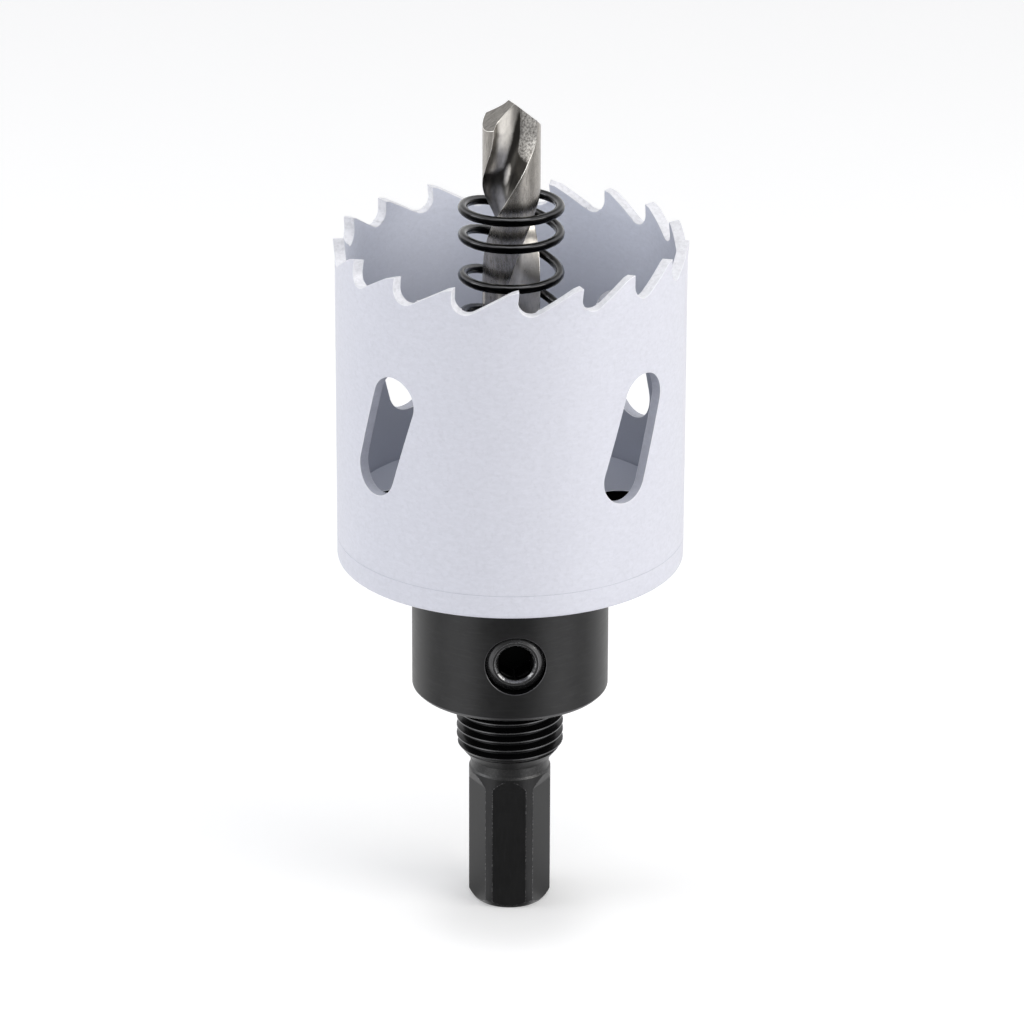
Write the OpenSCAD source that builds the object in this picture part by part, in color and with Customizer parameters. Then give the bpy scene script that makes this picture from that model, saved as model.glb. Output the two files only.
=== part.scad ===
// Hole saw: a toothed cup on a hex-shank arbor, with a pilot drill and an ejector spring.
// It stands on the end of its shank. The origin is the centre of that end, and +Z points to the teeth.
// Sizes are millimetres and angles are degrees. A turn is measured about Z from +X towards +Y.

/* [Cup] */
// Outside diameter of the cup, which is the saw's size
cup_od = 51; // [44:0.5:64]
// Height of the cup from the base's underside to the tooth tips
cup_high = 49.7; // [45:0.1:62]
// Thickness of the cup's wall
cup_wall = 1.6; // [1.2:0.1:2.4]

/* [Teeth] */
// Number of teeth
teeth = 17; // [12:1:20]
// Depth of the gullets below the tooth tips
tooth_depth = 3.65; // [2.4:0.05:4.2]
// Radius of the round bottom of a gullet
gullet_r = 1.9; // [1:0.05:2]
// How far the tooth face is hooked under its tip
tooth_hook = 0.15; // [0:0.05:0.3]
// Length of the flatter land behind a tip
tip_land = 1.5; // [0.6:0.1:2]
// How far that land falls away behind the tip
tip_drop = 0.4; // [0.1:0.05:0.6]
// How far a set tooth leans in or out of the wall at its tip
tooth_set = 0.3; // [0.1:0.05:0.4]
// How far the tooth spacing drifts around the rim, against chatter
spacing_drift = 2.8; // [0:0.1:3]
// Turn of the first tooth tip
first_tooth_turn = -41.8; // [-60:0.1:-30]

/* [Chip slots] */
// Number of slots in the wall
slots = 4; // [2:1:4]
// Width of a slot
slot_wide = 7.6; // [4:0.1:9]
// Length of a slot over its round ends
slot_long = 19.4; // [12:0.1:24]
// Lean of a slot, with its upper end to the right seen from outside
slot_lean = 18; // [0:0.1:30]
// Height of a slot's middle above the base's underside
slot_mid = 25.1; // [22:0.1:27]

/* [Base] */
// Thickness of the base at its middle
base_thick = 8.2; // [6:0.1:10]
// Height of the base's rim, below the seam with the wall
rim_high = 3.6; // [2:0.1:5]
// Radius of the rim's bottom edge
rim_edge_r = 0.6; // [0.2:0.1:1.5]
// Diameter of the two drive pin holes
pin_hole_d = 9; // [5:0.1:9.5]
// Radius of the circle that the pin holes lie on
pin_circle_r = 16; // [14:0.1:16.5]
// Turn of the first pin hole, midway between two slots
pin_turn = 45; // [0:1:90]

/* [Collar] */
// Outside diameter of the collar
collar_od = 29.1; // [24:0.1:34]
// Height of the collar
collar_high = 21; // [16:0.1:26]
// Bevel of the collar's two outer edges
collar_bevel = 0.5; // [0.2:0.1:1]

/* [Arbor] */
// Outside diameter of the arbor's thread
thread_d = 15.875; // [14:0.005:19.05]
// Distance across the flats of the hex shank
hex_flats = 11.11; // [9:0.01:11.5]
// Diameter of the round bar that the hex is cut from
shank_d = 12.2; // [11.8:0.1:13.5]
// Height at which the shank ends and the neck starts
shank_top = 21.3; // [18:0.1:26]
// Chamfer of the shank's end, across
end_chamfer = 0.8; // [0.3:0.1:1.2]
// Chamfer of the shank's end, along
end_chamfer_high = 1; // [0.5:0.1:2]
// Diameter of the neck above the shank
neck_d = 11.75; // [11:0.05:11.8]
// Height of the neck
neck_high = 1.6; // [1:0.1:3]
// Height of the cone that starts the thread
thread_start = 2.6; // [1:0.1:4]
// Length of thread that shows below the collar
thread_show = 9; // [5:0.1:14]
// How far the arbor stands up from the cup's floor
arbor_proud = 1.2; // [1:0.1:3]
// Turn of one hex flat
hex_turn = -45; // [-90:1:0]

/* [Pilot drill] */
// Diameter of the pilot drill
drill_d = 8.4; // [6:0.1:9]
// How far the drill's point stands above the tooth tips
drill_lead = 19.9; // [10:0.1:24]
// Depth of the drill's bore in the arbor
bore_deep = 27.9; // [22:0.1:32]
// Length of the flutes, from the point
flute_long = 50; // [34:0.5:56]
// Length over which the flutes fade out
flute_fade = 9; // [4:0.5:14]
// Height that one full turn of a flute takes, well below the point
flute_lead = 86; // [50:1:100]
// Height that one full turn would take at the point, where the flutes wind faster
point_lead = 43; // [35:0.5:60]
// Angle between the two ground faces of the point
point_angle = 96.6; // [90:0.1:130]
// How far the ridge between those faces is turned ahead of the lands at the tip
ridge_ahead = 34; // [20:1:50]
// Radius of the drill's core
web_r = 1.15; // [0.7:0.05:1.2]
// Part of a half turn that a land takes
land_share = 0.37; // [0.3:0.01:0.5]
// Depth of the flat that the set screw presses on
flat_deep = 0.6; // [0.3:0.1:1]
// Turn of the front edge of a land at the drill's tip
lip_turn = 126.4; // [0:0.1:180]

/* [Set screw] */
// Diameter of the set screw over its plain form
screw_d = 8.7; // [6:0.1:9]
// Distance across the flats of its hex socket
socket_flats = 4.8; // [3:0.1:5.5]
// Depth of its hex socket
socket_deep = 4.5; // [2:0.1:5]
// Height of its axis above the collar's underside
screw_high = 8.9; // [6:0.1:12]
// How far its face lies below the collar's surface
screw_sunk = 0.9; // [0.2:0.05:1.5]
// Turn of its axis
screw_turn = -41; // [-60:1:-20]

/* [Ejector spring] */
// Outside diameter of the spring
spring_od = 15.5; // [14:0.1:18]
// Diameter of its wire
wire_d = 1.4; // [1:0.1:1.8]
// Number of turns that are full open
spring_turns = 6; // [4:1:8]
// Height of the spring, to the top of its last turn
spring_high = 45.1; // [36:0.1:54]
// How far the first turn climbs
foot_rise = 3; // [1.9:0.1:4]
// How far the last turn climbs
head_rise = 4.1; // [1.9:0.1:6]
// Turn of the side where the coils lie flattest
coil_turn = -44.4; // [-90:0.1:0]
// Share of each coil's climb that is even, and the rest is on the far side
even_climb = 0.3; // [0.2:0.05:1]

/* [Fits] */
// Gap at each side of a piece that is screwed or pushed into another
fit_gap = 0.05; // [0.03:0.01:0.1]

/* [Hidden] */
$fn = 96;

cup_r = cup_od / 2;
wall_in_r = cup_r - cup_wall;
spigot_r = wall_in_r - fit_gap;
thread_r = thread_d / 2;
thread_hole_r = thread_r + fit_gap;
drill_r = drill_d / 2;
bore_r = drill_r + fit_gap;
screw_r = screw_d / 2;
screw_hole_r = screw_r + fit_gap;
collar_r = collar_od / 2;

// Heights, from the shank's end upwards
neck_top = shank_top + neck_high;
thread_full = neck_top + thread_start;
collar_low = neck_top + thread_start + thread_show;
base_low = collar_low + collar_high;
seam = base_low + rim_high;
floor_top = base_low + base_thick;
arbor_top = floor_top + arbor_proud;
tips = base_low + cup_high;
bend = tips - tooth_depth + 0.3;
drill_top = tips + drill_lead;
slot_height = base_low + slot_mid;
screw_height = collar_low + screw_high;
bore_low = arbor_top - bore_deep;

// Small shapes
past = 1;
blank_gap = 1;
gullet_steps = 10;
flat_run = 1.6;
thread_tip_bevel = 0.8;
drill_end_bevel = 0.5;
screw_bevel = 0.4;
screw_point = 1.2;
drill_cone = 59;
flat_above = 6;
fast_deep = 8;
slow_deep = 24;
seat = 0.02;
back_taper = 0.04;

// Turn of a tooth tip, and of the bottom of the gullet beside it
function tip_turn(i) = first_tooth_turn + 360 * i / teeth - spacing_drift * (1 - cos(360 * i / teeth));
function gullet_turn(i) = tip_turn(i) + asin((gullet_r - tooth_hook) / cup_r);

// The gap between two teeth, seen from outside: x along the rim from the left tip, y up from the tips.
// Its round bottom runs from the hooked face on the left to the straight ramp on the right. The face and the
// land both run on past the tips, so that each tip is where two cuts cross.
module gullet_shape(gap_wide) {
    mid = [gullet_r - tooth_hook, gullet_r - tooth_depth];
    land = [gap_wide - tip_land, -tip_drop];
    face_top = [-tooth_hook * 2 * past / mid.y, 2 * past];
    land_end = [gap_wide + past, tip_drop / tip_land * past];
    ramp = atan2(land.y - mid.y, land.x - mid.x) + asin(gullet_r / norm(land - mid));
    sweep = 90 + ramp;
    bottom = [for (i = [0 : gullet_steps]) let (a = 180 + sweep * i / gullet_steps)
        mid + gullet_r * [cos(a), sin(a)]];
    polygon(concat([face_top], bottom, [land, land_end, [land_end.x, face_top.y]]));
}

module gullet_cut(i) {
    gap_wide = cup_r * sin(tip_turn(i + 1) - tip_turn(i));
    cut_in = wall_in_r * cos(540 / teeth);
    rotate([0, 0, tip_turn(i)]) translate([cut_in, 0, tips])
        rotate([90, 0, 90]) linear_extrude(cup_r + past - cut_in) gullet_shape(gap_wide);
}

module slot_cut(i) {
    rotate([0, 0, 360 * i / slots]) translate([wall_in_r - past, 0, slot_height])
        rotate([90, 0, 90]) linear_extrude(cup_wall + 2 * past) rotate(-slot_lean) {
            square([slot_wide, slot_long - slot_wide], center = true);
            for (end = [-1, 1]) translate([0, end * (slot_long - slot_wide) / 2]) circle(d = slot_wide);
        }
}

// The blanks of every third tooth, which lean the same way. Each reaches from one gullet to the next.
module tooth_blanks(first, lean) {
    reach = cup_r + cup_wall;
    top = tips + past;
    top_lean = lean * (top - bend) / (tips - bend);
    intersection() {
        rotate_extrude() polygon([
            [wall_in_r, bend], [cup_r, bend], [cup_r + top_lean, top], [wall_in_r + top_lean, top]]);
        for (i = [first : 3 : teeth - 1])
            let (a = gullet_turn(i - 1) + blank_gap / 2, b = gullet_turn(i) - blank_gap / 2)
                translate([0, 0, bend - past]) linear_extrude(tooth_depth + 3 * past)
                    polygon([[0, 0], for (turn = [a, (a + b) / 2, b]) reach * [cos(turn), sin(turn)]]);
    }
}

// The rolled and welded wall, with its teeth and chip slots. One tooth in three leans out and one leans in.
module cup_body() {
    color([0.85, 0.85, 0.89]) difference() {
        union() {
            rotate_extrude() translate([wall_in_r, seam]) square([cup_wall, bend - seam]);
            for (k = [0 : 2]) tooth_blanks(k, tooth_set * [0, 1, -1][k]);
        }
        for (i = [0 : teeth - 1]) gullet_cut(i);
        for (i = [0 : slots - 1]) slot_cut(i);
    }
}

// The thick base, whose spigot sits in the foot of the wall
module base_cap() {
    color([0.8, 0.8, 0.85]) difference() {
        rotate_extrude() {
            translate([thread_hole_r, base_low]) square([spigot_r - thread_hole_r, base_thick]);
            translate([thread_hole_r, base_low]) square([cup_r - rim_edge_r - thread_hole_r, rim_high]);
            translate([thread_hole_r, base_low + rim_edge_r])
                square([cup_r - thread_hole_r, rim_high - rim_edge_r]);
            translate([cup_r - rim_edge_r, base_low + rim_edge_r]) circle(rim_edge_r);
        }
        for (turn = [pin_turn, pin_turn + 180])
            rotate([0, 0, turn]) translate([pin_circle_r, 0, base_low - past])
                cylinder(h = base_thick + 2 * past, d = pin_hole_d);
    }
}

// One flat of the hex, with the slope where the cutter ran out
module hex_flat_cut() {
    flat = hex_flats / 2;
    deep = shank_d;
    run_top = shank_top - (neck_d - hex_flats) / 2;
    rotate([90, 0, 0]) linear_extrude(shank_d, center = true) polygon([
        [flat, -past], [deep, -past], [deep, run_top], [shank_d / 2, run_top], [flat, run_top - flat_run]]);
}

// Shank, neck and thread are one turned piece, bored for the drill
module arbor() {
    color([0.2, 0.2, 0.22]) difference() {
        rotate_extrude() polygon([
            [0, 0], [shank_d / 2 - end_chamfer, 0], [shank_d / 2, end_chamfer_high],
            [shank_d / 2, shank_top], [neck_d / 2, shank_top + (shank_d - neck_d) / 2],
            [neck_d / 2, neck_top],
            [thread_r, thread_full], [thread_r, arbor_top - thread_tip_bevel],
            [thread_r - thread_tip_bevel, arbor_top], [0, arbor_top]]);
        for (i = [0 : 5]) rotate([0, 0, hex_turn + 60 * i]) hex_flat_cut();
        rotate_extrude() polygon([
            [0, bore_low - bore_r / tan(drill_cone)], [bore_r, bore_low], [bore_r, arbor_top + past],
            [0, arbor_top + past]]);
        screw_hole(thread_r + past);
    }
}

// The radial hole that takes the set screw
module screw_hole(reach) {
    rotate([0, 0, screw_turn]) translate([0, 0, screw_height]) rotate([0, 90, 0])
        cylinder(h = reach, r = screw_hole_r);
}

module collar() {
    color([0.24, 0.24, 0.26]) difference() {
        rotate_extrude() polygon([
            [thread_hole_r, collar_low], [collar_r - collar_bevel, collar_low],
            [collar_r, collar_low + collar_bevel], [collar_r, base_low - collar_bevel],
            [collar_r - collar_bevel, base_low], [thread_hole_r, base_low]]);
        screw_hole(collar_r + past);
    }
}

// Lies along its own axis, from the drill's flat out to its socket
module set_screw() {
    inner = drill_r - flat_deep + seat;
    outer = collar_r - screw_sunk;
    across = socket_flats / cos(30);
    color([0.13, 0.13, 0.14]) rotate([0, 0, screw_turn]) translate([0, 0, screw_height]) rotate([0, 90, 0])
        difference() {
            rotate_extrude() polygon([
                [0, inner], [screw_r - screw_point, inner], [screw_r, inner + screw_point],
                [screw_r, outer - screw_bevel], [screw_r - screw_bevel, outer], [0, outer]]);
            translate([0, 0, outer - socket_deep]) cylinder(h = socket_deep + past, d = across, $fn = 6);
        }
}

// The drill's section as [angle behind the first cutting edge, radius]: two lands and two round hollows
function drill_section() = let (
    land = 180 * land_share, hollow = 180 - land,
    rise = drill_r * cos(hollow / 2) - web_r,
    hollow_r = (rise * rise + pow(drill_r * sin(hollow / 2), 2)) / (2 * rise),
    off = web_r + hollow_r)
    [for (half = [0, 180]) each concat(
        [for (i = [0 : 4]) [half + land * i / 4, drill_r]],
        [for (i = [1 : 8]) let (a = hollow * (i / 9 - 0.5))
            [half + 180 - hollow / 2 + a, off * cos(a) - sqrt(pow(hollow_r, 2) - pow(off * sin(a), 2))]])];
// How deep the flutes are at a height, from none at the shank to full
function flute_share(z, low) = let (t = max(0, min(1, (z - low) / flute_fade))) t * t * (3 - 2 * t);
// The lands narrow a hair from the point back to the shank, so that they don't rub
function land_r(z) = drill_r - back_taper * (drill_top - z) / flute_long;

// The turn that a flute has made at a depth below the tip: fast near the point, and slower further down
function wind(deep) = let (ease = slow_deep - fast_deep, t = max(0, min(1, (deep - fast_deep) / ease)))
    360 / point_lead * deep
    - (360 / point_lead - 360 / flute_lead) * (t * t * ease / 2 + max(0, deep - slow_deep));

// The fluted length is a stack of rings that twist with height, from inside the shank to above the tip
module flute_stack(low) {
    section = drill_section();
    ring_n = len(section);
    body_n = 56;
    heights = concat([low - past], [for (i = [0 : body_n]) low + (drill_top + past - low) * i / body_n]);
    n = len(heights);
    points = concat(
        [for (z = heights) for (at = section)
            let (a = lip_turn - wind(drill_top - z) - at[0],
                 r = land_r(z) - (drill_r - at[1]) * flute_share(z, low))
            [r * cos(a), r * sin(a), z]],
        [[0, 0, heights[0]], [0, 0, heights[n - 1]]]);
    sides = [for (i = [0 : n - 2]) for (k = [0 : ring_n - 1])
        let (next = (k + 1) % ring_n, a = i * ring_n + k, b = i * ring_n + next)
        each [[a, b, a + ring_n], [b, b + ring_n, a + ring_n]]];
    ends = [for (k = [0 : ring_n - 1]) let (next = (k + 1) % ring_n, last = (n - 1) * ring_n)
        each [[next, k, n * ring_n], [last + k, last + next, n * ring_n + 1]]];
    polyhedron(points, concat(sides, ends), convexity = 6);
}

// The stack under the two ground faces, which meet in a ridge through the tip
module fluted_length(low) {
    wide = drill_d;
    shoulder = drill_top - wide / tan(point_angle / 2);
    intersection() {
        flute_stack(low);
        rotate([0, 0, lip_turn + ridge_ahead - 90]) rotate([90, 0, 0])
            linear_extrude(2 * drill_d, center = true) polygon([
                [-wide, low - 2 * past], [wide, low - 2 * past], [wide, shoulder],
                [0, drill_top], [-wide, shoulder]]);
    }
}

module pilot_drill() {
    fluted_low = drill_top - flute_long;
    end_r = drill_r - drill_end_bevel;
    end_z = bore_low - (bore_r - end_r) / tan(drill_cone) + seat;
    color([0.6, 0.58, 0.55]) {
        difference() {
            rotate_extrude() polygon([
                [0, end_z], [end_r, end_z], [drill_r, end_z + drill_end_bevel], [drill_r, fluted_low],
                [0, fluted_low]]);
            rotate([0, 0, screw_turn]) translate([drill_r - flat_deep, -drill_r, end_z - past])
                cube([drill_d, drill_d, screw_height + flat_above - end_z + past]);
        }
        fluted_length(fluted_low);
    }
}

// Share of a coil's climb made after a part of its turn. It starts on the side where the coils lie flattest,
// and the far side takes the step that isn't spread evenly.
function far_step(t) = let (a = 360 * t, s = sin(a))
    t + (0.75 * sin(2 * a) - 4 * s + s * s * s / 3) / (5 * PI);
function coil_climb(t) = even_climb * t + (1 - even_climb) * far_step(t);

module ejector_spring() {
    wire_r = wire_d / 2;
    coil_r = spring_od / 2 - wire_r;
    foot = arbor_top + wire_r + seat;
    open_rise = (spring_high - wire_d - foot_rise - head_rise) / spring_turns;
    rises = concat([0, foot_rise], [for (i = [1 : spring_turns]) open_rise], [head_rise, 0]);
    lows = [for (i = 0, z = foot; i < len(rises); z = z + rises[i], i = i + 1) z];
    side_n = 8;
    per_turn = 24;
    first = per_turn / 2;
    last = per_turn * (len(rises) - 1) + 10;
    rings = [for (i = [first : last]) let (t = i / per_turn, k = floor(t))
        [coil_turn + 360 * t, lows[k] + rises[k] * coil_climb(t - k)]];
    n = len(rings);
    points = [for (ring = rings) for (k = [0 : side_n - 1])
        let (a = 360 * k / side_n, r = coil_r + wire_r * cos(a))
        [r * cos(ring[0]), r * sin(ring[0]), ring[1] + wire_r * sin(a)]];
    sides = [for (i = [0 : n - 2]) for (k = [0 : side_n - 1])
        let (next = (k + 1) % side_n, a = i * side_n + k, b = i * side_n + next)
        each [[a, b, a + side_n], [b, b + side_n, a + side_n]]];
    ends = [[for (k = [side_n - 1 : -1 : 0]) k], [for (k = [0 : side_n - 1]) (n - 1) * side_n + k]];
    color([0.1, 0.1, 0.11]) polyhedron(points, concat(sides, ends), convexity = 10);
}

cup_body();
base_cap();
arbor();
collar();
set_screw();
pilot_drill();
ejector_spring();
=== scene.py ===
import bmesh
import bpy
import math
from mathutils import Matrix, Vector


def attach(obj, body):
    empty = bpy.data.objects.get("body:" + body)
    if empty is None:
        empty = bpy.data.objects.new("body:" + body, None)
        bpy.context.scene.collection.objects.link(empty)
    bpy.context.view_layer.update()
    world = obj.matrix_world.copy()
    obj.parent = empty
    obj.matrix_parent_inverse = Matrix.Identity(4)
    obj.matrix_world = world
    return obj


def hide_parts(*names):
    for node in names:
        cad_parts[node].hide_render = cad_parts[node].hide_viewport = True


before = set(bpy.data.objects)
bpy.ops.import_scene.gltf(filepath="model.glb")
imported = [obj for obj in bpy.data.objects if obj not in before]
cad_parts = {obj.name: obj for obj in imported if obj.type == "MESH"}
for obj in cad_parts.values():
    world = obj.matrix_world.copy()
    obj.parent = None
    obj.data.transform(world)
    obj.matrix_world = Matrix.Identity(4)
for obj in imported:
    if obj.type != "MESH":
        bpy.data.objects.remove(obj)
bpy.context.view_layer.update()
mm = 0.001


# small helpers for modelling, with all places in millimetres

def dropSelection():
    if bpy.context.mode != "OBJECT":
        bpy.ops.object.mode_set(mode="OBJECT")
    bpy.ops.object.select_all(action="DESELECT")


def workOn(piece, editing=False):
    dropSelection()
    piece.select_set(True)
    bpy.context.view_layer.objects.active = piece
    if editing:
        bpy.ops.object.mode_set(mode="EDIT")
        bpy.ops.mesh.select_mode(type="VERT")
        bpy.ops.mesh.select_all(action="SELECT")


def pick(piece, test, kind="VERT"):
    # selects, in edit mode, the vertices or faces whose place and normal pass the test
    bpy.ops.mesh.select_mode(type=kind)
    bpy.ops.mesh.select_all(action="DESELECT")
    mesh = bmesh.from_edit_mesh(piece.data)
    if kind == "VERT":
        for v in mesh.verts:
            if test(v.co / mm, v.normal):
                v.select = True
    else:
        for f in mesh.faces:
            if test(f.calc_center_median() / mm, f.normal):
                f.select = True
    mesh.select_flush_mode()
    bmesh.update_edit_mesh(piece.data)


def drawOutline(name, points, filled=True):
    # one vertex, drawn on from point to point and closed at the end
    dropSelection()
    bpy.ops.mesh.primitive_plane_add(size=mm)
    piece = bpy.context.object
    piece.name = name
    workOn(piece, editing=True)
    bpy.ops.mesh.merge(type="CENTER")
    points = [Vector(p) * mm for p in points]
    bpy.ops.transform.translate(value=points[0])
    for here, there in zip(points, points[1:]):
        bpy.ops.mesh.extrude_region_move(TRANSFORM_OT_translate={"value": there - here})
    bpy.ops.mesh.select_all(action="SELECT")
    bpy.ops.mesh.edge_face_add()
    if not filled:
        bpy.ops.mesh.delete(type="ONLY_FACE")
        bpy.ops.mesh.select_all(action="SELECT")
    return piece


def closeMesh(threshold=1e-7):
    bpy.ops.mesh.select_all(action="SELECT")
    bpy.ops.mesh.remove_doubles(threshold=threshold)
    bpy.ops.mesh.dissolve_degenerate(threshold=threshold)
    bpy.ops.mesh.select_all(action="SELECT")
    bpy.ops.mesh.normals_make_consistent(inside=False)


def turned(name, profile, steps):
    # a lathe: the profile is a closed loop of [radius, height], spun once round the axis
    piece = drawOutline(name, [(r, 0, z) for r, z in profile], filled=False)
    bpy.ops.mesh.spin(steps=steps, angle=2 * math.pi, center=(0, 0, 0), axis=(0, 0, 1))
    closeMesh(2e-7)
    bpy.ops.object.mode_set(mode="OBJECT")
    return piece


def bar(name, points, reach):
    # the outline pushed along a vector
    piece = drawOutline(name, points)
    bpy.ops.mesh.extrude_region_move(TRANSFORM_OT_translate={"value": Vector(reach) * mm})
    closeMesh()
    bpy.ops.object.mode_set(mode="OBJECT")
    return piece


def place(piece, turn=(0, 0, 0), move=(0, 0, 0)):
    # turns (degrees) and moves, with the object left at the origin
    workOn(piece)
    piece.rotation_euler = [math.radians(a) for a in turn]
    piece.location = Vector(move) * mm
    bpy.ops.object.transform_apply(location=True, rotation=True, scale=True)
    return piece


def copyOf(piece):
    twin = piece.copy()
    twin.data = piece.data.copy()
    bpy.context.collection.objects.link(twin)
    return twin


def carve(piece, cutter):
    # the cut faces keep the cutter's finish
    cut = piece.modifiers.new("carve", "BOOLEAN")
    cut.solver = "EXACT"
    cut.operation = "DIFFERENCE"
    cut.material_mode = "TRANSFER"
    cut.object = cutter
    workOn(piece)
    bpy.ops.object.modifier_apply(modifier=cut.name)
    bpy.data.objects.remove(cutter)


def softenEdges(piece, width, angle, segments=2):
    # the rounded edges take the piece's second finish, a paler copy that paints a highlight line along them
    edge = piece.modifiers.new("edge", "BEVEL")
    edge.width = width * mm
    edge.segments = segments
    edge.limit_method = "ANGLE"
    edge.angle_limit = math.radians(angle)
    edge.use_clamp_overlap = False
    edge.material = 1
    edge.miter_outer = "MITER_ARC"
    workOn(piece)
    bpy.ops.object.modifier_apply(modifier=edge.name)


def smooth(piece, angle):
    # the large faces lead the shading, so a rounded edge leaves no streaks on them
    workOn(piece)
    bpy.ops.object.shade_smooth_by_angle(angle=math.radians(angle))
    lead = piece.modifiers.new("lead", "WEIGHTED_NORMAL")
    lead.keep_sharp = True
    lead.weight = 70
    bpy.ops.object.modifier_apply(modifier=lead.name)


def paintFaces(piece, slot, test):
    # gives the faces that pass the test another of the piece's finishes
    workOn(piece, editing=True)
    pick(piece, test, "FACE")
    piece.active_material_index = slot
    bpy.ops.object.material_slot_assign()
    bpy.ops.object.mode_set(mode="OBJECT")


def polar(r, turn):
    a = math.radians(turn)
    return (r * math.cos(a), r * math.sin(a))


# shader maths, written as Python expressions

class Wire:
    def __init__(self, finish, socket):
        self.finish, self.socket = finish, socket

    def maths(self, operation, *others, clamp=False):
        values = {i: v for i, v in enumerate((self,) + others)}
        return self.finish.node("ShaderNodeMath", {"operation": operation, "use_clamp": clamp}, values)

    def __add__(self, other): return self.maths("ADD", other)
    def __radd__(self, other): return self.maths("ADD", other)
    def __sub__(self, other): return self.maths("SUBTRACT", other)
    def __rsub__(self, other): return (self * -1).maths("ADD", other)
    def __mul__(self, other): return self.maths("MULTIPLY", other)
    def __rmul__(self, other): return self.maths("MULTIPLY", other)
    def __truediv__(self, other): return self.maths("DIVIDE", other)
    def clamp(self): return self.maths("ADD", 0, clamp=True)

    def step(self, low, high):
        # rises smoothly from 0 at low to 1 at high
        return self.finish.node("ShaderNodeMapRange", {"interpolation_type": "SMOOTHSTEP"},
                                {"Value": self, "From Min": low, "From Max": high})


class Finish:
    def __init__(self, name, kind="material"):
        if kind == "world":
            self.block = bpy.data.worlds.new(name)
        else:
            self.block = bpy.data.materials.new(name)
        self.block.use_nodes = True
        self.tree = self.block.node_tree
        self.tree.nodes.clear()

    def node(self, kind, settings=None, values=None, out=0):
        # its settings come first, then a value or a link for each socket
        made = self.tree.nodes.new(kind)
        for key, value in (settings or {}).items():
            if key == "stops":
                ramp = made.color_ramp.elements
                while len(ramp) < len(value):
                    ramp.new(0.5)
                for stop, (position, colour) in zip(ramp, value):
                    stop.position, stop.color = position, (*colour, 1)
            else:
                setattr(made, key, value)
        for key, value in (values or {}).items():
            if isinstance(value, Wire):
                self.tree.links.new(value.socket, made.inputs[key])
            elif isinstance(value, tuple) and made.inputs[key].type == "RGBA":
                made.inputs[key].default_value = (*value, 1)
            else:
                made.inputs[key].default_value = value
        return Wire(self, made.outputs[out]) if len(made.outputs) else made

    def place(self, scale=(1, 1, 1), turn=0):
        # object coordinates in millimetres
        here = self.node("ShaderNodeTexCoord", out="Object")
        if turn:
            here = self.node("ShaderNodeMapping", {}, {"Vector": here, "Rotation": (0, 0, math.radians(turn))})
        return self.node("ShaderNodeMapping", {}, {"Vector": here, "Scale": tuple(s / mm for s in scale)})

    def part(self, vector, axis):
        # 0, 1 or 2 for x, y or z
        return self.node("ShaderNodeSeparateXYZ", {}, {0: vector}, out=axis)

    def table(self, rows, x):
        # straight lines between the rows, the same as between() gives
        reach, low = rows[-1][0], min(y for _, y in rows)
        span = max(y for _, y in rows) - low
        stops = [(at / reach, ((y - low) / span,) * 3) for at, y in rows]
        return self.node("ShaderNodeValToRGB", {"stops": stops}, {0: x / reach}) * span + low

    def noise(self, scale, detail, rough, stretch=(1, 1, 1), at=None):
        return self.node("ShaderNodeTexNoise", {}, {"Vector": at or self.place(stretch), "Scale": scale,
                                                    "Detail": detail, "Roughness": rough})

    def mix(self, factor, a, b):
        return self.node("ShaderNodeMix", {"data_type": "RGBA"}, {0: factor, 6: a, 7: b}, out=2)

    def bump(self, height, depth):
        return self.node("ShaderNodeBump", {}, {"Height": height, "Distance": depth * mm})

    def shade(self, **sockets):
        names = {"colour": "Base Color", "rough": "Roughness", "metal": "Metallic", "normal": "Normal"}
        shader = self.node("ShaderNodeBsdfPrincipled", {}, {names[k]: v for k, v in sockets.items()})
        self.node("ShaderNodeOutputMaterial", {}, {"Surface": shader})
        return self.block


def toned(colour, share):
    # darker with a share below 1, and paler above it
    return tuple(min(1, c * share) for c in colour)


# the camera comes first, at the photograph's angle

view = {"lens": 198.8, "sensor": 36, "shift": 0.0015, "clipEnd": 20,
        # its turn round the axis, its angle above the floor, its roll, its distance and where it looks
        "turn": -44.4, "pitch": 21.88, "roll": 0.175, "far": 831.7, "aimHeight": 61.92}


def towards(turn, up):
    # the direction at a turn round the axis and an angle above the floor
    turn, up = math.radians(turn), math.radians(up)
    return Vector((math.cos(turn) * math.cos(up), math.sin(turn) * math.cos(up), math.sin(up)))


def standCamera():
    bpy.ops.object.camera_add()
    camera = bpy.context.object
    camera.name = "camera"
    aim = Vector((0, 0, view["aimHeight"])) * mm
    away = towards(view["turn"], view["pitch"])
    look = (-away).to_track_quat("-Z", "Y").to_matrix().to_4x4()
    roll = Matrix.Rotation(math.radians(view["roll"]), 4, "Z")
    camera.matrix_world = Matrix.Translation(aim + away * view["far"] * mm) @ look @ roll
    camera.data.lens = view["lens"]
    camera.data.sensor_width = view["sensor"]
    camera.data.shift_x = view["shift"]
    camera.data.clip_end = view["clipEnd"]
    bpy.context.scene.camera = camera


standCamera()
print("camera stands")

# floor, background and lamps

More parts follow.
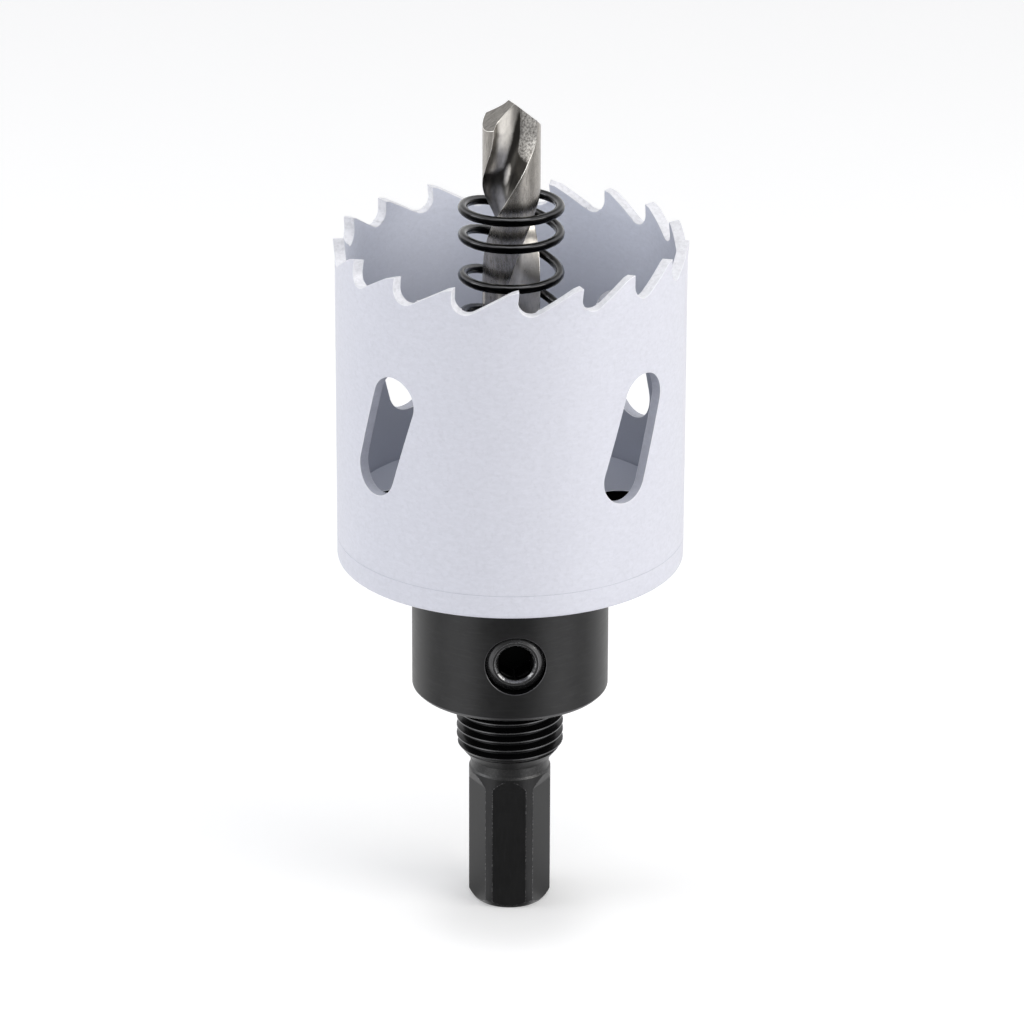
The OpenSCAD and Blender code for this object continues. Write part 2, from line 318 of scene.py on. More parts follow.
studio = {"floor": (0.93, 0.93, 0.935), "floorLift": 0.255, "floorReach": 5, "sky": (0.55, 0.553, 0.56),
          # a soft painted shadow round the foot: its strength, how far before the axis, and where it fades (mm)
          "footPaintedShadow": 0.13, "footBefore": 8, "footFade": (5, 17),
          # what polished metal sees before the object, at the sides, beyond them and behind
          "frontTone": 0.20, "sideTone": 1.0, "flankTone": 0.55, "backTone": 0.95,
          "lampsAim": 65,
          "lamps": [
              # name, turn from the camera to the right, height, distance, size, watts, colour
              ("leftBox", -84, 22, 700, 420, 1.35, (0.98, 0.99, 1.0)),
              ("rightBox", 64, 24, 700, 420, 1.8, (1.0, 0.975, 0.93)),
              ("topBox", 20, 76, 750, 520, 1.0, (1.0, 1.0, 1.0)),
              ("frontFill", 30, 40, 1100, 420, 0.5, (1.0, 1.0, 1.0))]}
white = (1.0, 1.0, 1.0)


def studioTone(facing):
    # facing is the cosine of the turn from the camera's side, 1 before the object and -1 behind it
    front, side, flank, behind = [studio[k] for k in ("frontTone", "sideTone", "flankTone", "backTone")]
    tone = behind + (flank - behind) * facing.step(-0.45, -0.05)
    tone = tone + (side - flank) * facing.step(0.2, 0.42)
    return tone + (front - side) * facing.step(0.68, 0.93)


def cameraSide(finish, spot):
    # cosine of the turn between a direction and the camera's side of the studio
    level = finish.node("ShaderNodeVectorMath", {"operation": "MULTIPLY"}, {0: spot, 1: (1, 1, 0)})
    level = finish.node("ShaderNodeVectorMath", {"operation": "NORMALIZE"}, {0: level})
    return finish.node("ShaderNodeVectorMath", {"operation": "DOT_PRODUCT"},
                       {0: level, 1: tuple(towards(view["turn"], 0))}, out="Value")


def rays(finish):
    # the share of camera or transmission rays, and of glossy rays
    camera, glossy, clear = [finish.node("ShaderNodeLightPath", out="Is " + kind + " Ray")
                             for kind in ("Camera", "Glossy", "Transmission")]
    return (camera + clear).clamp(), glossy


def makeFloor():
    floor = Finish("paleFloor")
    direct, glossy = rays(floor)
    here = floor.node("ShaderNodeTexCoord", out="Object")
    middle = tuple(towards(view["turn"], 0) * studio["footBefore"] * mm)
    foot = floor.node("ShaderNodeVectorMath", {"operation": "DISTANCE"}, {0: here, 1: middle}, out="Value") / mm
    # near is a painted shadow round the foot: it darkens the floor's colour and cuts its lift
    near = (1 - foot.step(*studio["footFade"])) * studio["footPaintedShadow"]
    lit = floor.node("ShaderNodeBsdfDiffuse", {}, {"Color": floor.mix(near, studio["floor"], (0.0, 0.0, 0.0))})
    lift = floor.node("ShaderNodeEmission", {}, {"Color": white,
                                                 "Strength": direct * (1 - near) * studio["floorLift"]})
    seen = floor.node("ShaderNodeAddShader", {}, {0: lit, 1: lift})
    mirrored = floor.node("ShaderNodeEmission", {}, {"Color": white,
                                                     "Strength": studioTone(cameraSide(floor, here))})
    both = floor.node("ShaderNodeMixShader", {}, {0: glossy, 1: seen, 2: mirrored})
    floor.node("ShaderNodeOutputMaterial", {}, {"Surface": both})

    dropSelection()
    bpy.ops.mesh.primitive_circle_add(vertices=96, radius=studio["floorReach"], fill_type="NGON",
                                      location=(0, 0, 0))
    stage = bpy.context.object
    stage.name = "stageFloor"
    stage.data.materials.append(floor.block)


def makeSky():
    sky = Finish("studioWorld", "world")
    direct, glossy = rays(sky)
    even = sky.node("ShaderNodeBackground", {}, {"Color": studio["sky"], "Strength": 1.0})
    tone = studioTone(cameraSide(sky, sky.node("ShaderNodeTexCoord", out="Generated")))
    backdrop = sky.node("ShaderNodeBackground", {}, {"Color": white, "Strength": direct + (1 - direct) * tone})
    both = sky.node("ShaderNodeMixShader", {}, {0: (direct + glossy).clamp(), 1: even, 2: backdrop})
    sky.node("ShaderNodeOutputWorld", {}, {"Surface": both})
    bpy.context.scene.world = sky.block


def hangLamps():
    for name, turn, height, far, size, power, colour in studio["lamps"]:
        away = towards(view["turn"] + turn, height)
        aim = Vector((0, 0, studio["lampsAim"] * mm))
        bpy.ops.object.light_add(type="AREA", location=away * far * mm + aim)
        lamp = bpy.context.object
        lamp.name = name
        lamp.rotation_euler = (-away).to_track_quat("-Z", "Y").to_euler()
        lamp.data.shape = "SQUARE"
        lamp.data.size = size * mm
        lamp.data.energy = power
        lamp.data.color = colour


makeFloor()
makeSky()
hangLamps()
bpy.context.scene.view_settings.view_transform = "Standard"
print("stage is lit")

# finishes

# inside is the same paint painted paler and bluer, a lit copy for the cup's inner faces
paint = {"colour": (0.72, 0.73, 0.81), "inside": (0.765, 0.795, 0.90), "edge": (0.86, 0.865, 0.92),
         "toothFaceLit": (0.84, 0.845, 0.89), "slotEdgeShaded": (0.50, 0.515, 0.59), "rough": 0.42, "peel": 0.022,
         # painted shade darkens the inside with its depth: how much, and from which height to which
         "paintedDepthShade": 0.74, "paintedDepthShadeFrom": (78, 104)}


def paintFinish(name, colour, rough, grain=1.0, paintedDepthShade=None):
    # satin paint: a slow drift of tone, brushed streaks, and orange peel, and where a depth is given, painted
    # shade lower down
    finish = Finish(name)
    drift = finish.noise(0.05, 4, 0.6)
    peel = finish.noise(1.6, 4, 0.6)
    brush = finish.noise(0.9, 3, 0.6, stretch=(1, 1, 2.2))
    tone = finish.mix((drift - 0.35).clamp() * 0.6 * grain, colour, toned(colour, 0.92))
    tone = finish.mix(((brush - 0.4) * 2.5).clamp() * grain, tone, toned(colour, 1.06))
    tone = finish.mix(((peel - 0.5) * 3).clamp() * grain, tone, toned(colour, 0.92))
    # painted shade: darker towards the bottom of the cup
    if paintedDepthShade:
        height = finish.part(finish.place(), 2)
        tone = finish.mix(height.step(*paint["paintedDepthShadeFrom"]), toned(colour, paintedDepthShade), tone)
    return finish.shade(colour=tone, rough=rough + (peel - 0.5) * 0.12,
                        normal=finish.bump(peel + brush * 0.4, paint["peel"] * grain))


def bareSteelFinish(name, colour, rough, grain=1.0, lines=(1.2, 1.2, 0.25), depth=0.006, turn=0):
    # ground steel: fine grinding lines and soft smears
    finish = Finish(name)
    grind = finish.noise(2.6, 4, 0.7, at=finish.place(lines, turn))
    smear = finish.noise(0.5, 3, 0.6)
    tone = finish.mix(((grind - 0.42) * 1.5 * grain).clamp(), colour, toned(colour, 0.5))
    tone = finish.mix(((smear - 0.5) * 2).clamp(), tone, toned(colour, 1.15))
    return finish.shade(colour=tone, metal=1.0, rough=rough + (grind - 0.5) * 0.25 + (smear - 0.5) * 0.1,
                        normal=finish.bump(grind, depth))


def blackFinish(name, colour, rough, lines=(0.2, 0.2, 2.2), depth=0.003, specks=None, top=None, metal=0.9):
    # black oxide: cloudy, with fine machining lines, and where they are given, bare specks and a painted
    # highlight band on the upper faces
    finish = Finish(name)
    grind = finish.noise(1.6, 4, 0.7, stretch=lines)
    cloud = finish.noise(0.35, 4, 0.6)
    tone = finish.mix((cloud - 0.3).clamp() * 0.8, colour, toned(colour, 1.5))
    tone = finish.mix(((grind - 0.5) * 3).clamp(), tone, toned(colour, 1.4))
    if specks:
        bare = finish.noise(3.5, 3, 0.6).step(0.5, 0.62)
        tone = finish.mix(bare, tone, specks)
    # a painted highlight band where the normal looks part way up, fading out at the very top
    if top:
        up = finish.part(finish.node("ShaderNodeNewGeometry", out="Normal"), 2)
        tone = finish.mix(up.step(0.4, 0.62) * (1 - up.step(0.74, 0.96)), tone, top)
    return finish.shade(colour=tone, metal=metal, rough=rough + (grind - 0.5) * 0.18 + (cloud - 0.5) * 0.12,
                        normal=finish.bump(grind, depth))


finishes = {
    "paint": paintFinish("cupPaint", paint["colour"], paint["rough"]),
    # a paler, bluer lit copy of the paint, with painted shade deeper in the cup
    "paintInsideLitCopy": paintFinish("cupPaintInsideLitCopy", paint["inside"], 0.45, paintedDepthShade=paint["paintedDepthShade"]),
    # a paler copy of the paint for the rounded edges, a painted highlight line
    "paintEdgeHighlight": paintFinish("cupPaintEdgeHighlight", paint["edge"], 0.32, 0.4),
    # a paler copy of the paint on the teeth's cut faces, painted as the light their upturned faces catch, with a
    # coarser grain
    "cutFaceLit": paintFinish("toothFaceLit", paint["toothFaceLit"], 0.34, 2.6),
    # a darker copy of the paint on the slots' cut faces, painted shade
    "slotEdgeShaded": paintFinish("slotEdgeShaded", paint["slotEdgeShaded"], 0.4, 1.4),
    "collar": blackFinish("collarBlack", (0.052, 0.052, 0.053), 0.40),
    # a paler copy on the collar's rounded edges, a painted highlight line
    "collarEdgeHighlight": blackFinish("collarEdgeHighlight", (0.13, 0.13, 0.135), 0.38, depth=0.001),
    "shank": blackFinish("shankBlack", (0.041, 0.041, 0.042), 0.38, lines=(2.2, 2.2, 0.25)),
    "neck": blackFinish("neckBlack", (0.062, 0.062, 0.063), 0.38, depth=0.002, specks=(0.09, 0.09, 0.091)),
    # the hex's rounded edges: bare specks of wear, on a paler tone that paints a highlight line
    "wornAndHighlightedEdge": blackFinish("shankEdgeWornAndHighlighted", (0.060, 0.060, 0.062), 0.40, depth=0.001, specks=(0.20, 0.20, 0.205)),
    "thread": blackFinish("threadBlack", (0.020, 0.020, 0.021), 0.20, depth=0.001),
    # a paler copy on the thread's crests, painted as the highlight lines along them
    "crest": blackFinish("threadCrestHighlight", (0.16, 0.16, 0.165), 0.30, depth=0.001),
    "screw": blackFinish("screwBlack", (0.10, 0.10, 0.102), 0.24, depth=0.001),
    # a paler copy for the set screw's rounded edges and countersink, painted highlight
    "screwEdgeHighlight": blackFinish("screwEdgeHighlight", (0.24, 0.24, 0.245), 0.24, depth=0.001),
    # near black for the socket and recess, painted shade
    "socket": blackFinish("socketPaintedShade", (0.005, 0.005, 0.005), 0.45, depth=0.001),
    # the spring's wire, with a painted highlight band along its upper side
    "wire": blackFinish("springBlackPaintedHighlight", (0.003, 0.003, 0.0032), 0.16, lines=(1, 1, 1), depth=0.001,
                        top=(0.10, 0.10, 0.104), metal=1.0),
    "drill": bareSteelFinish("drillSteel", (0.44, 0.415, 0.385), 0.26, 1.8),
    # a paler copy for the drill's rounded edges, painted highlight lines
    "drillEdgeHighlight": bareSteelFinish("drillEdgeHighlight", (0.90, 0.88, 0.84), 0.3, 0.5, depth=0.001),
    "drillPoint": bareSteelFinish("drillPoint", (0.30, 0.285, 0.265), 0.34, 3.6, lines=(0.25, 2.2, 0.4),
                                  depth=0.02, turn=-45.6),
}


def wear(piece, *names):
    for name in names:
        piece.data.materials.append(finishes[name])


def settle(piece, node):
    # the finished piece stands for its CAD node
    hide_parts(node)
    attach(piece, "root")


# the wall of the cup

cup = {"outer": 25.5, "wall": 1.6, "steps": 360, "seam": 59.1, "seamEase": 0.05, "edge": 0.09,
       # rings of edges up the wall, and the ring that the teeth are set from
       "rings": [69.5, 91.5, 101.2], "bend": 101.85, "tips": 105.2, "set": 0.28,
       "teeth": 17, "firstTooth": -41.8, "drift": 2.8, "deep": 3.65, "gulletR": 1.9, "hook": 0.15,
       # the land behind a tip falls away, and the tip itself is eased: across, down
       "land": (1.5, 0.4), "tipEase": (0.7, 0.15),
       "slots": 4, "slotWide": 7.6, "slotLong": 19.4, "slotLean": 18, "slotHeight": 80.6,
       # where the cutters start, from the axis, and how far they reach
       "gulletCut": (20, 8), "slotCut": (21.9, 6), "cutOver": 2}


def tipTurn(i):
    # the teeth stand a little closer on one side of the cup
    even = 360 * i / cup["teeth"]
    return cup["firstTooth"] + even - cup["drift"] * (1 - math.cos(math.radians(even)))


def gulletMiddle(i):
    return tipTurn(i) + math.degrees(math.asin((cup["gulletR"] - cup["hook"]) / cup["outer"]))


def gulletOutline(width):
    # from the tooth's steep face down round the bottom, up the ramp and over the land to the next tip
    r = cup["gulletR"]
    midX, midY = r - cup["hook"], r - cup["deep"]
    landX, landY = width - cup["land"][0], -cup["land"][1]
    easeX, easeY = cup["tipEase"]
    overX, overY = landX - midX, landY - midY
    ramp = math.degrees(math.atan2(overY, overX) + math.asin(r / math.hypot(overX, overY)))
    bottom = [polar(r, 180 + (90 + ramp) * i / 20) for i in range(21)]
    faceTop = -cup["hook"] * 2 / midY
    return [(faceTop, cup["cutOver"])] + [(midX + x, midY + y) for x, y in bottom] + \
        [(landX, landY), (width - easeX, -easeY), (width + 1, 0.25), (width + 1, cup["cutOver"])]


def slotOutline():
    # a leaning stadium
    half, r = (cup["slotLong"] - cup["slotWide"]) / 2, cup["slotWide"] / 2
    ends = [(polar(r, a), half) for a in range(0, 181, 6)] + [(polar(r, a), -half) for a in range(180, 361, 6)]
    upright = [(x, y + shift) for (x, y), shift in ends]
    cosine, sine = polar(1, -cup["slotLean"])
    return [(x * cosine - y * sine, cup["slotHeight"] + x * sine + y * cosine) for x, y in upright]


def setTeeth(wall):
    # the teeth are set one by one, each brought round to +X first
    middleR, bend = cup["outer"] - cup["wall"] / 2, cup["bend"]
    workOn(wall, editing=True)
    at = 0
    for i in range(cup["teeth"]):
        middle = (gulletMiddle(i - 1) + gulletMiddle(i)) / 2
        reach = (gulletMiddle(i) - gulletMiddle(i - 1)) / 2
        bpy.ops.mesh.select_all(action="SELECT")
        bpy.ops.transform.rotate(value=math.radians(middle - at), orient_axis="Z", center_override=(0, 0, 0))
        at = middle
        lean = cup["set"] * (0, 1, -1)[i % 3]
        if not lean:
            continue
        pick(wall, lambda co, _: co.z > bend + 0.01 and abs(math.degrees(math.atan2(co.y, co.x))) < reach)
        bpy.ops.transform.rotate(value=-math.atan(lean / (cup["tips"] - bend)), orient_axis="Y",
                                 center_override=(middleR * mm, 0, bend * mm))
    bpy.ops.mesh.select_all(action="SELECT")
    bpy.ops.transform.rotate(value=math.radians(-at), orient_axis="Z", center_override=(0, 0, 0))
    bpy.ops.object.mode_set(mode="OBJECT")


def makeCupWall():
    inner, outer, seam, ease = cup["outer"] - cup["wall"], cup["outer"], cup["seam"], cup["seamEase"]
    rings = cup["rings"] + [cup["bend"], cup["tips"] + 0.4]
    wall = turned("cupWall", [(inner, seam), (outer - ease, seam), (outer, seam + ease),
                              *[(outer, z) for z in rings], *[(inner, z) for z in reversed(rings)]], cup["steps"])
    wear(wall, "paint", "paintEdgeHighlight", "cutFaceLit", "paintInsideLitCopy", "slotEdgeShaded")
    # the inner faces take the lit copy of the paint, with its painted shade
    paintFaces(wall, 3, lambda co, normal: normal.x * co.x + normal.y * co.y < -1)
    cutFrom, reach = cup["gulletCut"]
    for i in range(cup["teeth"]):
        width = outer * math.sin(math.radians(tipTurn(i + 1) - tipTurn(i)))
        gullet = bar("gullet", [(cutFrom, x, cup["tips"] + y) for x, y in gulletOutline(width)], (reach, 0, 0))
        # the gullets' cut faces take the paler copy, painted lighter
        wear(gullet, "cutFaceLit")
        carve(wall, place(gullet, (0, 0, tipTurn(i))))
    cutFrom, reach = cup["slotCut"]
    slot = bar("slot", [(cutFrom, x, y) for x, y in slotOutline()], (reach, 0, 0))
    # the slots' cut faces take the darker copy, painted shade
    wear(slot, "slotEdgeShaded")
    for i in range(cup["slots"]):
        carve(wall, place(copyOf(slot), (0, 0, 360 * i / cup["slots"])))
    bpy.data.objects.remove(slot)
    print("cup wall is cut")
    setTeeth(wall)
    softenEdges(wall, cup["edge"], angle=50)
    smooth(wall, angle=35)
    settle(wall, "cup_body")
    print("teeth are set")


makeCupWall()

# the base

base = {"low": 55.5, "rim": 3.6, "thick": 8.2, "round": 0.6, "hole": 15.98, "pinHole": 9, "pinCircle": 16,
        "pinTurn": 45, "steps": 256, "fit": 0.05, "spigotChamfer": 0.3, "holeChamfer": 0.4, "edge": 0.1}


def makeBase():
    low, top, seam, ease = base["low"], base["low"] + base["thick"], base["low"] + base["rim"], cup["seamEase"]
    hole, outer, spigot = base["hole"] / 2, cup["outer"], cup["outer"] - cup["wall"] - base["fit"]
    corner = [polar(base["round"], a) for a in range(-90, 1, 15)]
    piece = turned("cupBase", [
        (hole, low), *[(outer - base["round"] + x, low + base["round"] + y) for x, y in corner],
        (outer, seam - ease), (outer - ease, seam), (spigot, seam), (spigot, top - base["spigotChamfer"]),
        (spigot - base["spigotChamfer"], top), (hole + base["holeChamfer"], top),
        (hole, top - base["holeChamfer"])], base["steps"])
    wear(piece, "paint", "paintEdgeHighlight", "paintInsideLitCopy", "thread")
    # the cup's floor and the bore take the lit copy of the paint, with its painted shade
    paintFaces(piece, 2, lambda co, normal: normal.z > 0.5 or math.hypot(co.x, co.y) < hole + 1)
    for turn in (base["pinTurn"], base["pinTurn"] + 180):
        dropSelection()
        x, y = polar(base["pinCircle"], turn)
        bpy.ops.mesh.primitive_cylinder_add(vertices=72, radius=base["pinHole"] / 2 * mm, depth=20 * mm,
                                            location=(x * mm, y * mm, low * mm))
        cutter = bpy.context.object
        bpy.ops.object.transform_apply(location=True)
        wear(cutter, "thread")
        carve(piece, cutter)
    softenEdges(piece, base["edge"], angle=50)
    smooth(piece, angle=35)
    settle(piece, "base_cap")


makeBase()
print("base is made")

# the arbor

arbor = {"steps": 96, "edge": 0.07, "shank": 12.2, "flats": 11.11, "shankTop": 21.3, "hexTurn": -45,
         "runOut": 1.6, "chamfer": 0.8, "chamferHigh": 1.0, "neck": 11.75, "neckHigh": 1.6, "cone": 2.6,
         "top": 64.9, "bore": 8.5, "boreLow": 37.0, "boreCone": 2.5,
         # the thread, with half the width of its blunt crest and root, its start below the cone, how far
         # its cutter stands out, and what the cutter leaves between its turns
         "thread": 15.875, "pitch": 25.4 / 18, "threadDeep": 0.87, "threadTurns": 31, "threadChamfer": 0.8,
         "blunt": 0.09, "threadLead": 0.8, "threadOver": 0.25, "threadGap": 0.02}


def cutThread(piece, low):
    # a triangle with a blunt tip, swept up a screw line
    r, p, deep, blunt = arbor["thread"] / 2, arbor["pitch"], arbor["threadDeep"], arbor["blunt"]
    far, wide = r + arbor["threadOver"], 0.5 * p - arbor["threadGap"]
    groove = drawOutline("threadCut", [
        (far, 0, -wide), (far, 0, wide), (r, 0, 0.5 * p - blunt), (r - deep, 0, blunt), (r - deep, 0, -blunt),
        (r, 0, blunt - 0.5 * p)], filled=False)
    bpy.ops.object.mode_set(mode="OBJECT")
    sweep = groove.modifiers.new("sweep", "SCREW")
    sweep.screw_offset = p * arbor["threadTurns"] * mm
    sweep.angle = 2 * math.pi * arbor["threadTurns"]
    sweep.steps = sweep.render_steps = arbor["steps"] * arbor["threadTurns"] // 2
    sweep.use_merge_vertices = False
    workOn(groove)
    bpy.ops.object.modifier_apply(modifier=sweep.name)
    workOn(groove, editing=True)
    bpy.ops.mesh.select_all(action="DESELECT")
    bpy.ops.mesh.select_non_manifold()
    bpy.ops.mesh.edge_face_add()
    closeMesh()
    bpy.ops.object.mode_set(mode="OBJECT")
    wear(groove, "thread")
    carve(piece, place(groove, move=(0, 0, low)))


def makeArbor():
    r, neck, major, bore = [arbor[k] / 2 for k in ("shank", "neck", "thread", "bore")]
    shankTop, top, slope = arbor["shankTop"], arbor["top"], arbor["threadChamfer"]
    neckTop = shankTop + arbor["neckHigh"]
    full = neckTop + arbor["cone"]
    piece = turned("arbor", [
        (0, 0), (r - arbor["chamfer"], 0), (r, arbor["chamferHigh"]), (r, shankTop), (neck, shankTop + r - neck),
        (neck, neckTop), (major, full), (major, top - slope), (major - slope, top), (bore, top),
        (bore, arbor["boreLow"]), (0, arbor["boreLow"] - arbor["boreCone"])], arbor["steps"])
    wear(piece, "shank", "wornAndHighlightedEdge", "thread", "crest", "neck")
    flat, wide = arbor["flats"] / 2, arbor["shank"]
    runTop = shankTop - (neck - flat)
    cutter = bar("flatCut", [(flat, -r, -1), (wide, -r, -1), (wide, -r, runTop), (r, -r, runTop),
                             (flat, -r, runTop - arbor["runOut"])], (0, wide, 0))
    wear(cutter, "shank")
    for i in range(6):
        carve(piece, place(copyOf(cutter), (0, 0, arbor["hexTurn"] + 60 * i)))
    bpy.data.objects.remove(cutter)
    softenEdges(piece, arbor["edge"], angle=20)
    cutThread(piece, neckTop - arbor["threadLead"])
    # the crests take the paler copy, a painted highlight
    paintFaces(piece, 3, lambda co, normal: math.hypot(co.x, co.y) > major - 0.12 and co.z > full - 0.4)
    paintFaces(piece, 4, lambda co, normal: shankTop - 0.1 < co.z < full - 0.6 and abs(normal.z) < 0.95 and
               math.hypot(co.x, co.y) > neck - 0.1)
    smooth(piece, angle=28)
    settle(piece, "arbor")
    print("arbor: ", len(piece.data.polygons), "faces")


makeArbor()

# the collar

collar = {"outer": 29.1, "low": 34.5, "top": 55.5, "bevel": 0.5, "hole": 15.98, "steps": 192, "edge": 0.12,
          # the set screw's hole: its gap, and where its cutter starts and ends
          "screwGap": 0.14, "cutFrom": 5.5, "cutTo": 17.5}


def makeCollar():
    r, hole, b, low, top = collar["outer"] / 2, collar["hole"] / 2, collar["bevel"], collar["low"], collar["top"]
    piece = turned("collar", [(hole, low), (r - b, low), (r, low + b), (r, top - b), (r - b, top), (hole, top)],
                   collar["steps"])
    wear(piece, "collar", "collarEdgeHighlight", "thread")
    dropSelection()
    bpy.ops.mesh.primitive_cylinder_add(vertices=96, radius=(screw["d"] / 2 + collar["screwGap"]) * mm,
                                        depth=(collar["cutTo"] - collar["cutFrom"]) * mm)
    cutter = place(bpy.context.object, (0, 90, 0))
    wear(cutter, "thread")
    place(cutter, move=((collar["cutFrom"] + collar["cutTo"]) / 2, 0, screw["height"]))
    carve(piece, place(cutter, (0, 0, screw["turn"])))
    softenEdges(piece, collar["edge"], angle=30, segments=3)
    smooth(piece, angle=30)
    settle(piece, "collar")


# its set screw, from the axis outwards

screw = {"d": 8.7, "turn": -41, "height": 43.4, "inner": 3.62, "outer": 13.65, "point": 1.2, "socket": 4.8,
         "socketDeep": 4.5, "steps": 96, "edge": 0.06,
         # the chamfer of its rim, and its countersunk mouth with a round recess below
         "rimChamfer": 0.95, "rimSlope": 0.5, "rimEase": (0.05, 0.1), "mouth": 3.0, "mouthR": 2.68,
         "mouthDeep": 0.4, "recess": 0.9, "recessCorner": 0.1, "mouthOver": 0.4}


def makeScrew():
    r, long, point = screw["d"] / 2, screw["outer"] - screw["inner"], screw["point"]
    rim, (easeIn, easeDown) = long - screw["rimSlope"], screw["rimEase"]
    piece = turned("setScrew", [(0, 0), (r - point, 0), (r, point), (r, rim - easeDown), (r - easeIn, rim),
                                (r - screw["rimChamfer"], long), (0, long)], screw["steps"])
    wear(piece, "screw", "screwEdgeHighlight", "socket")
    across = screw["socket"] / 2 / math.cos(math.radians(30))
    dropSelection()
    bpy.ops.mesh.primitive_cylinder_add(vertices=6, radius=across * mm, depth=screw["socketDeep"] * 2 * mm,
                                        location=(0, 0, long * mm), rotation=(0, 0, math.radians(30)))
    cutter = bpy.context.object
    bpy.ops.object.transform_apply()
    wear(cutter, "socket")
    carve(piece, cutter)
    # a round countersunk mouth over the hexagon
    mouthR, sunk, corner = screw["mouthR"], long - screw["mouthDeep"], screw["recessCorner"]
    low, over = sunk - screw["recess"], screw["mouthOver"]
    mouth = turned("mouth", [(0, low), (mouthR - corner, low), (mouthR, low + corner), (mouthR, sunk),
                             (screw["mouth"] + over, long + over), (0, long + over)], screw["steps"])
    wear(mouth, "socket", "screwEdgeHighlight")
    # the countersink takes the paler copy, a painted highlight
    paintFaces(mouth, 1, lambda co, normal: co.z > sunk - 0.1)
    carve(piece, mouth)
    softenEdges(piece, screw["edge"], angle=24)
    # the socket's walls take the near-black copy, painted shade
    paintFaces(piece, 2, lambda co, normal: math.hypot(co.x, co.y) < mouthR + 0.02 and 2 < co.z < sunk - 0.12)
    smooth(piece, angle=30)
    place(piece, (0, 90, 0))
    place(piece, move=(screw["inner"], 0, screw["height"]))
    place(piece, (0, 0, screw["turn"]))
    settle(piece, "set_screw")


makeCollar()
makeScrew()
print("collar and set screw are made")

# the pilot drill

drill = {"d": 8.4, "top": 125.1, "low": 36.7, "fluted": 75.1, "fade": 9, "ring": 0.4, "endChamfer": 0.5,
         "endShare": 0.88, "lipTurn": 126.4, "ridge": 34, "pointAngle": 96.6, "edge": 0.05,
         # the flute in section, from its cutting edge over the web to the heel of the next land: right, near
         "curve": [(-2.46, 2.85), (-2.31, 2.4), (-2.0, 2.0), (-1.5, 1.70), (-0.96, 1.43), (-0.42, 1.18),
                   (0.08, 1.01), (0.55, 0.94), (1.0, 0.92), (1.35, 1.0), (1.8, 1.18), (2.4, 1.46), (3.05, 1.78),
                   (3.55, 2.03)],
         "curveWide": 98, "curveTurn": 37.7,
         # below the tip, where the grinding changes them: the turn of the heel, and the width of the flute
         "heelTurns": [(0, 62), (4.2, 61.5), (5.2, 57.5), (6.3, 49.5), (7.6, 38.6), (9.1, 27.5), (10.1, 19.5),
                       (13, -4), (16.2, -30), (17.6, -41), (19.8, -56), (22.4, -70), (27.1, -90), (51, -190)],
         "widths": [(0, 98), (5, 98), (7.3, 89), (10.1, 87), (13, 92), (16, 98), (60, 98)],
         # its finish, with the share of the flute's width at which the painted dark reflection begins
         # the dark colour is that of the painted dark reflection
         "bright": (0.84, 0.805, 0.755), "paintedDarkReflection": (0.085, 0.08, 0.073), "rubbed": (0.62, 0.60, 0.57),
         "rubbedDark": (0.13, 0.122, 0.115), "grindDark": (0.02, 0.018, 0.015), "rough": 0.31,
         "paintedDarkFrom": [(0, 0.97), (1.5, 0.82), (3, 0.64), (5, 0.47), (7, 0.3), (8.5, 0.19), (9.4, 0.11),
                      (12.2, -0.4), (60, -0.4)],
         # a painted highlight patch low in the flute: across it, down from the tip, and how far it reaches each
         # way
         "paintedHighlight": (0.44, 11.3), "paintedHighlightReach": (0.33, 2)}


def fluteFinish():
    # ground bright at the cutting edge, with a painted dark reflection over the web and a painted highlight patch
    # low down, and coarse on the heel's side near the point
    finish = Finish("drillFlute")
    x, y, z = [finish.part(finish.place(), axis) for axis in range(3)]
    deep = drill["top"] - z
    wide = finish.table(drill["widths"], deep)
    heel = finish.table(drill["heelTurns"], deep)
    turn = y.maths("ARCTAN2", x) * math.degrees(1) - view["turn"] - heel + wide + 20
    share = (turn.maths("FLOORED_MODULO", 180) - 20) / wide  # 0 at the cutting edge, 1 at the heel
    grind = finish.noise(1.6, 4, 0.7, stretch=(1.5, 1.5, 0.5))
    grit = finish.noise(3.2, 3, 0.7)
    edge = share + (finish.noise(0.7, 3, 0.6) - 0.5) * 0.22
    # the painted dark reflection over the web
    paintedDarkReflection = (edge - finish.table(drill["paintedDarkFrom"], deep)).step(-0.13, 0.13) * (1 - deep.step(11.5, 14.5) * 0.7)
    (paintedHighlightAt, paintedHighlightDeep), (paintedHighlightWide, paintedHighlightLong) = drill["paintedHighlight"], drill["paintedHighlightReach"]
    aside, below = (edge - paintedHighlightAt) / paintedHighlightWide, (deep - paintedHighlightDeep + share * 1.4) / paintedHighlightLong
    # the painted highlight patch low in the flute
    paintedHighlight = (1 - aside * aside - below * below).step(0, 0.8)
    coarse = share.step(0.895, 0.925) * (1 - (deep + grit * 0.5 - share * 12).step(-3.85, -3.5)) * \
        (1 - share.step(1.0, 1.1))
    tone = finish.mix(paintedDarkReflection * (1 - paintedHighlight * 0.85), drill["bright"], drill["paintedDarkReflection"])
    tone = finish.mix(((grind - 0.42) * 1.6).clamp(), tone, finish.mix(0.5, tone, drill["grindDark"]))
    rubbed = finish.mix(((grit - 0.38) * 3.5).clamp(), drill["rubbed"], drill["rubbedDark"])
    tone = finish.mix(coarse, tone, rubbed)
    return finish.shade(colour=tone, metal=1.0, rough=drill["rough"] + coarse * 0.1 + (grind - 0.5) * 0.2,
                        normal=finish.bump(grind * 0.2 + coarse * grit, 0.02))


finishes["flute"] = fluteFinish()


def between(table, x):
    # on the straight line between two rows of a table
    for (x0, y0), (x1, y1) in zip(table, table[1:]):
        if x <= x1:
            return y0 + (y1 - y0) * max(0, x - x0) / (x1 - x0)
    return table[-1][1]


